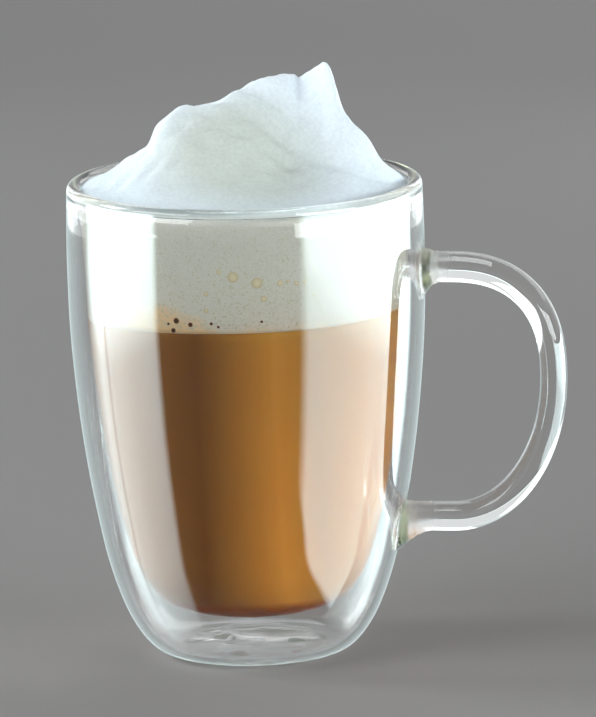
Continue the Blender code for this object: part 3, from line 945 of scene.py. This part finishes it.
# %% Large bubbles
# Each is (degrees to the right of the front, height in mm, width in mm)
TAN_BUBBLES = (
    (-4.7, 104.0, 2.7), (3.7, 102.4, 2.8), (11.9, 102.1, 1.6), (14.8, 102.5, 0.9), (17.8, 101.8, 1.2),
    (21.1, 101.9, 1.0), (6.0, 98.3, 1.6), (-14.6, 99.7, 1.3), (-14.7, 95.4, 1.2), (-9.7, 105.3, 1.2),
    (24.9, 98.3, 0.8),
)
DARK_BUBBLES = (
    (-26.2, 92.5, 1.5), (-20.8, 91.7, 1.2), (-27.5, 90.0, 1.2), (-29.4, 91.6, 0.7), (-13.0, 92.1, 0.8),
    (-10.5, 91.3, 0.7), (5.1, 92.5, 0.7),
)
LARGE_SIDES, LARGE_RINGS, LARGE_BULGE = 28, 6, 0.00014


def placed_bubbles(name, bubbles):
    turn, height, width = np.array(bubbles).T
    radii, bulge = 0.5 * width * MM, np.full(len(width), LARGE_BULGE)
    return bubble_mesh(name, FRONT + np.radians(turn), height * MM, radii, bulge, LARGE_SIDES, LARGE_RINGS)


add_piece(
    "tan_bubbles", placed_bubbles("tan_bubbles", TAN_BUBBLES),
    bubble_material("tan_bubble", *TAN_COLOURS), "milk_foam",
)
add_piece(
    "dark_bubbles", placed_bubbles("dark_bubbles", DARK_BUBBLES),
    bubble_material("dark_bubble", *DARK_COLOURS), "milk_foam",
)

# %% [markdown]
# ## Floor and light
# Clear glass shows hardly anything but what it reflects and bends. Two softboxes, one high on the left and one low
# on the right, give the drink its brightness and the heap its bright shoulders, and two weak ones stand behind. A
# wide light overhead fills the floor behind, and a small light from the left throws the soft shadow to the right.
# A card overhead shows only in reflections, as a pale line along the top of the handle.

# %% Floor
FLOOR_GREY = (0.246, 0.238, 0.233, 1.0)
FLOOR_RADIUS, FLOOR_SIDES, FLOOR_DROP = 4.0, 96, 0.0001


def add_floor():
    """One round face, a hair below the mug's foot. Reflections leave it out and show the world instead."""
    angle = np.linspace(0.0, math.tau, FLOOR_SIDES, endpoint=False)
    rim = np.stack([
        FLOOR_RADIUS * np.cos(angle), FLOOR_RADIUS * np.sin(angle), np.full(FLOOR_SIDES, -FLOOR_DROP),
    ], axis=1)
    mesh = bpy.data.meshes.new("floor")
    mesh.from_pydata(rim.tolist(), [], [list(range(FLOOR_SIDES))])
    made, _, _ = new_material("pale_floor", Base_Color=FLOOR_GREY, Roughness=0.8, Specular_IOR_Level=0.0)
    mesh.materials.append(made)
    floor = new_object("floor", mesh)
    floor.visible_glossy = False


add_floor()


# %% Lights
COOL_WHITE = (0.94, 0.98, 1.0)
# Each is (name, start, end, low, high, radiance), in degrees to the right of the camera and in metres
SOFTBOXES = (
    ("left_key", -80.0, -38.0, 0.34, 0.78, 6.8),
    ("right_key", 32.0, 74.0, 0.10, 0.32, 12.0),
    ("left_rear", -165.0, -126.0, 0.0, 0.33, 1.0),
    ("right_rear", 126.0, 165.0, 0.0, 0.33, 1.0),
)
SOFTBOX_DISTANCE = 0.8
# Each is (width, height, radiance)
BACK_LIGHT, SHADOW_LIGHT, TOP_CARD = (3.0, 1.6, 1.8), (0.35, 0.35, 13.0), (0.6, 0.6, 7.0)
BACK_PLACE, SHADOW_PLACE, CARD_PLACE = (0.9, 1.6, 1.2), (-0.95, 0.06, 0.62), (0.0, -0.1, 1.0)
SHADOW_AIM = (-0.95, 0.06, 0.57)  # from the point that the light is aimed at to the light


def area_light(name, width, height, radiance):
    """A flat light that is even over its face. Its power is pi times radiance times area."""
    data = bpy.data.lights.new(name, "AREA")
    data.shape = "RECTANGLE"
    data.size, data.size_y = width, height
    data.energy = math.pi * radiance * width * height
    data.color = COOL_WHITE
    light = new_object(name, data)
    light.visible_camera = False
    return light


def softbox(name, start, end, low, high, radiance):
    """An upright light between two directions as seen from the mug. Its width is twice the distance times the
    tangent of half the angle between them."""
    middle, half = math.radians((start + end) / 2), math.radians((end - start) / 2)
    light = area_light(name, 2.0 * SOFTBOX_DISTANCE * math.tan(half), high - low, radiance)
    turn = FRONT + middle
    light.location = (SOFTBOX_DISTANCE * math.cos(turn), SOFTBOX_DISTANCE * math.sin(turn), (low + high) / 2)
    light.rotation_euler = (math.pi / 2, 0.0, turn + math.pi / 2)


for values in SOFTBOXES:
    softbox(*values)
back_light = area_light("back_light", *BACK_LIGHT)
back_light.location = BACK_PLACE
shadow_light = area_light("shadow_light", *SHADOW_LIGHT)
shadow_light.location = SHADOW_PLACE
shadow_light.rotation_euler = Vector(SHADOW_AIM).to_track_quat("Z", "Y").to_euler()
top_card = area_light("top_card", *TOP_CARD)
top_card.location = CARD_PLACE
top_card.visible_diffuse = top_card.visible_transmission = False
print(f"lights: {len(SOFTBOXES) + 3}")

# %% [markdown]
# ## The world that the glass reflects
# The camera looks down, so the mug's walls reflect what lies below the horizon. The floor is left out of
# reflections, as if the mug stood on a small stand, and the world below the horizon is painted with two upright
# cards, one on each side, brightest at their top edge, and darkness in front. The right card has a rear flap whose
# seam leans and whose foot fades sooner. Above the horizon the world is a soft grey, brighter behind the mug and
# darker overhead. A world is only a colour for each direction: the angle round the mug picks a place on one ramp,
# and the height another.


# %% World
CARD_COLOUR, SKY_COLOUR = (9.3, 11.2, 11.4), (0.96, 0.99, 1.0)
CARD, REAR_GLOW = 0.92, 0.085  # shares of the card colour
SKY, SKY_BEHIND = 0.50, 0.78
# Each is (degrees to the right of the camera, share)
LEFT_CARD = (
    (-126.0, 0.0), (-113.0, 1.0), (-108.0, 1.0), (-106.5, 0.5), (-105.0, 1.0), (-64.0, 1.0), (-59.0, 0.0),
)
RIGHT_CARD = ((34.0, 0.0), (41.0, CARD), (128.0, CARD), (134.0, 0.0))
SKY_AROUND = ((-120.0, SKY_BEHIND), (-90.0, SKY), (90.0, SKY), (120.0, SKY_BEHIND))
BEHIND = ((-140.0, REAR_GLOW), (-112.0, 0.0), (112.0, 0.0), (140.0, REAR_GLOW))
# Each is (sine of the height over the horizon, share)
FLOOR_GLOW = ((-0.98, 0.032), (-0.82, 0.0))
UPWARDS = ((-0.08, 0.0), (-0.04, 1.0), (0.40, 1.0), (0.65, 0.25), (1.0, 0.15))
# How far down each card reaches: the drop over the sideways distance, where it starts to fade and where it ends
LEFT_FOOT, RIGHT_FOOT, FLAP_FOOT = (0.15, 1.50), (0.88, 0.97), (0.25, 1.15)
CARD_HEAD, HEAD_DROP = (1.6, 1.0), (0.22, 0.29)  # the cards are brighter down to this drop
# The flap starts here, in degrees, over this softness, and sooner further down
SEAM, SEAM_SOFTNESS, SEAM_LEAN = 98.0, 0.8, 17.0
LEAN_UP_TO = 1.2  # below this drop the seam leans no further


def grey_ramp(tree, factor, stops, low, high):
    """A ramp of greys over the factor, whose places are given between low and high."""
    return ramp(tree, factor, *(((where - low) / (high - low), (grey, grey, grey)) for where, grey in stops))


def grey_around(tree, around, stops):
    return grey_ramp(tree, around, stops, -180.0, 180.0)


def turns(degrees):
    return degrees / 360.0 + 0.5


def share_at(tree, first, last, share):
    """The first value and the last one, mixed by the share: first plus share times their difference."""
    change = product(tree, share, math_node(tree, "SUBTRACT", last, first))
    return total(tree, first, change)


def studio_world():
    """Below the horizon, the ramp round the mug times the share of the card that is left at that steepness, and
    the floor's own glow where the direction is steep. Above it, the sky's ramps. The two are added."""
    world = bpy.data.worlds.new("studio")
    world.use_nodes = True
    tree = world.node_tree
    place = add_node(tree, "ShaderNodeTexCoord")
    turned = add_node(tree, "ShaderNodeVectorRotate", rotation_type="Z_AXIS", Angle=-FRONT)
    parts = add_node(tree, "ShaderNodeSeparateXYZ")
    tree.links.new(place.outputs["Generated"], turned.inputs["Vector"])
    tree.links.new(turned.outputs["Vector"], parts.inputs["Vector"])
    right, rise = parts.outputs["Y"], parts.outputs["Z"]
    around = math_node(tree, "ARCTAN2", right, parts.outputs["X"])
    around = total(tree, math_node(tree, "DIVIDE", around, math.tau), 0.5)
    height = total(tree, product(tree, rise, 0.5), 0.5)
    sideways = math_node(tree, "MAXIMUM", math_node(tree, "ABSOLUTE", right, 0.0), 0.001)
    steepness = math_node(tree, "DIVIDE", product(tree, rise, -1.0), sideways)
    left_foot, right_foot, flap_foot = (
        fade_node(tree, steepness, foot, (1.0, 0.0)) for foot in (LEFT_FOOT, RIGHT_FOOT, FLAP_FOOT)
    )
    leaning = math_node(tree, "POWER", math_node(tree, "MINIMUM", steepness, LEAN_UP_TO), 2.0)
    leaning = total(tree, around, product(tree, leaning, SEAM_LEAN / 360.0))
    flap = fade_node(tree, leaning, (turns(SEAM - SEAM_SOFTNESS), turns(SEAM + SEAM_SOFTNESS)), (0.0, 1.0))
    left = product(tree, grey_around(tree, around, LEFT_CARD), left_foot)
    foot = share_at(tree, right_foot, flap_foot, flap)
    cards = total(tree, left, product(tree, grey_around(tree, around, RIGHT_CARD), foot))
    cards = product(tree, cards, fade_node(tree, steepness, HEAD_DROP, CARD_HEAD))
    cards = total(tree, cards, grey_around(tree, around, BEHIND))
    cards = product(tree, cards, math_node(tree, "LESS_THAN", rise, 0.0))
    cards = total(tree, cards, grey_ramp(tree, height, FLOOR_GLOW, -1.0, 1.0))
    below = times(tree, CARD_COLOUR, cards)
    sky = product(tree, grey_around(tree, around, SKY_AROUND), grey_ramp(tree, height, UPWARDS, -1.0, 1.0))
    above = times(tree, SKY_COLOUR, sky)
    tree.links.new(mix(tree, 1.0, below, above, "ADD"), tree.nodes["Background"].inputs["Color"])
    bpy.context.scene.world = world


studio_world()
print(f"world: {len(LEFT_CARD) + len(RIGHT_CARD) + len(BEHIND)} stops round the mug")

# %% [markdown]
# ## How light travels through the glass
# Light that reaches the drink has crossed four faces of glass, and leaves across four more, so paths need room for
# many bends. The filter for glossy light, which blurs glass after a matte bounce, is switched off, because it keeps
# half the light out of the mug.

# %% Light paths
bpy.context.scene.view_settings.view_transform = "Standard"
cycles = bpy.context.scene.cycles
cycles.max_bounces, cycles.transmission_bounces, cycles.glossy_bounces = 64, 40, 56
cycles.blur_glossy = 0.0
print(f"light paths: up to {cycles.max_bounces} bounces")
